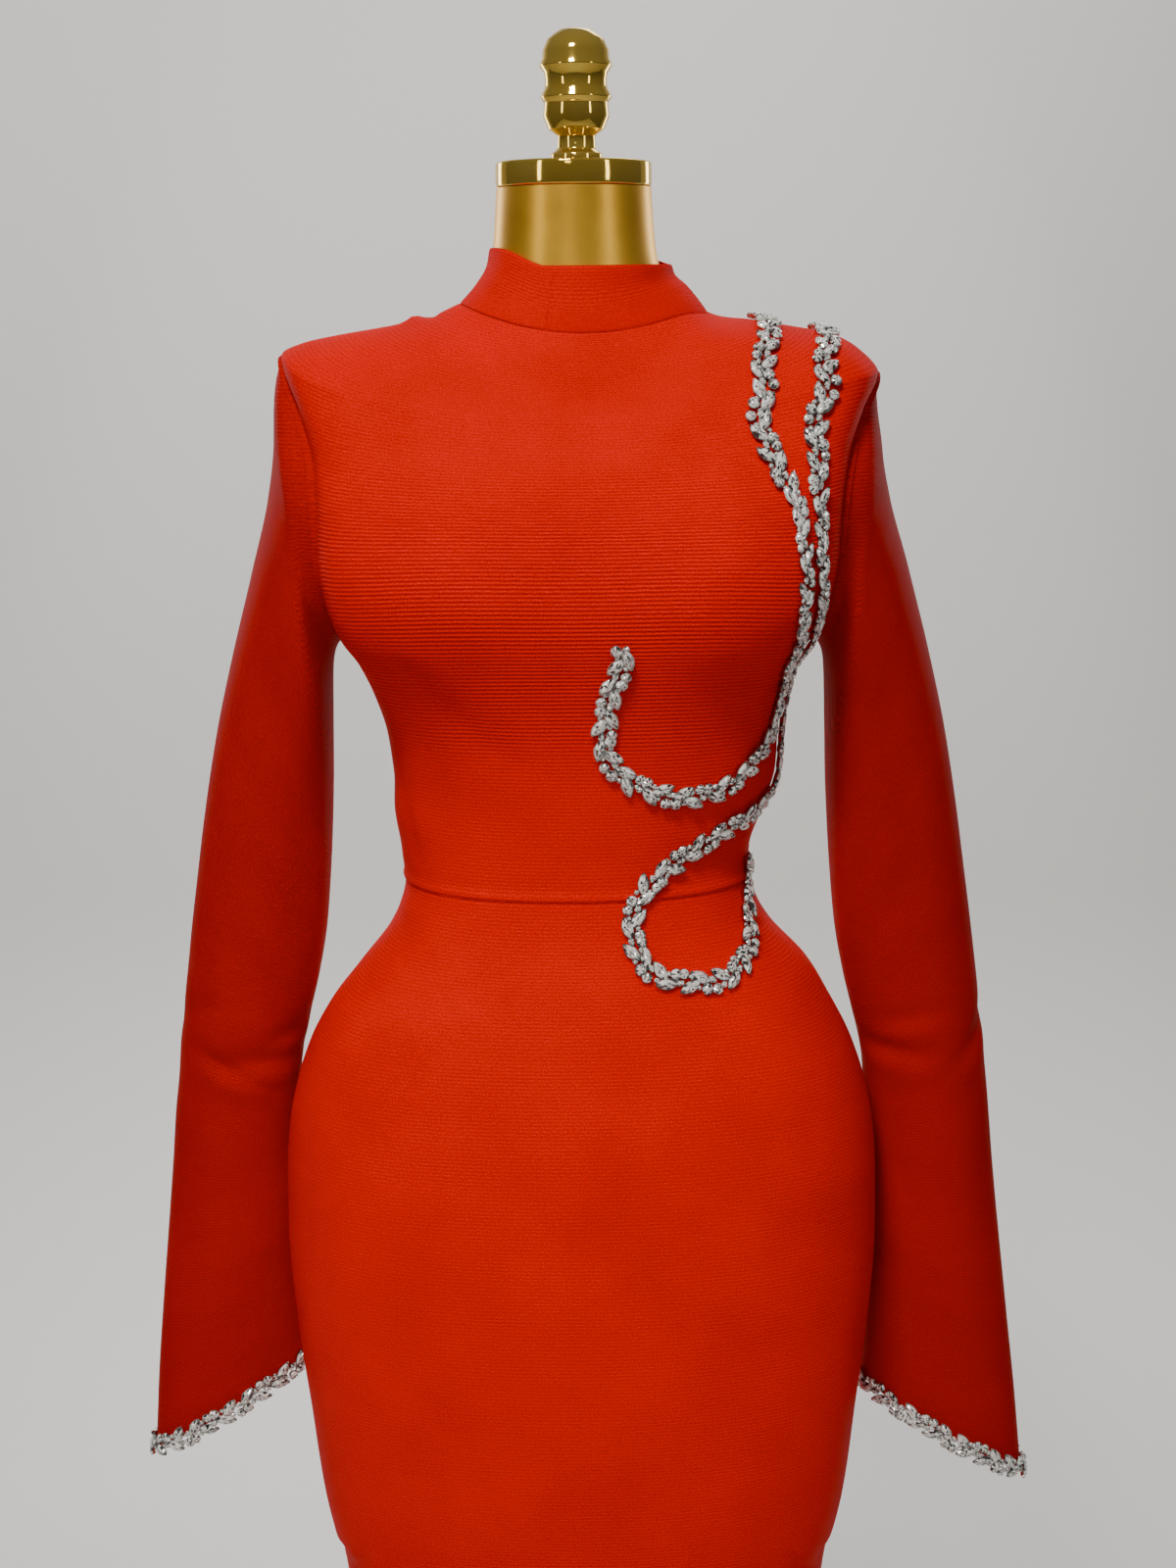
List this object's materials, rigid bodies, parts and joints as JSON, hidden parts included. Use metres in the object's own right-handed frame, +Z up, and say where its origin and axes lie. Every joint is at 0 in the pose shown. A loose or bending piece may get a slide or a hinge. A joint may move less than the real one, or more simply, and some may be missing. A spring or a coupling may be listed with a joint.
{
  "type": "bodycon dress on dress form",
  "caption": "Long-sleeved mock-neck bodycon dress in ribbed knit with crystal trim and flared slanted cuffs, worn on a limbless dress form on a stand.",
  "frame": {"origin": "on the floor, at the middle of the stand base's underside", "axes": "+Z up, the dress faces -Y, +X is the wearer's left"},
  "size_m": [0.6429, 0.34, 1.5885],
  "materials": {
    "knit": "red ribbed bandage knit, matt",
    "crystal": "clear stones in silver claw settings",
    "zip_metal": "enamelled to match the cloth",
    "gold_paint": "satin gold paint on a hard shell",
    "polished_gold": "polished"
  },
  "bodies": {
    "dress_on_form": {"bodice_front": "knit", "bodice_back_left": "knit", "bodice_back_right": "knit", "skirt_front": "knit", "skirt_back_left": "knit", "skirt_back_right": "knit", "collar": "knit", "sleeve_left": "knit", "sleeve_right": "knit", "trim_inner": "crystal", "trim_outer": "crystal", "trim_cuff_left": "crystal", "trim_cuff_right": "crystal", "zip_slider": "zip_metal", "form_body": "gold_paint", "neck_cap": "polished_gold", "finial": "polished_gold", "stand_pole": "polished_gold", "stand_base": "polished_gold"},
    "zip_pull": {"zip_pull": "zip_metal"}
  },
  "joints": [
    {"name": "zip_pull_hinge", "type": "hinge", "parent": "dress_on_form", "child": "zip_pull", "pos_m": [0.00563, 0.06503, 1.44654], "axis": [1, 0, 0], "range_deg": [0, 150]}
  ]
}
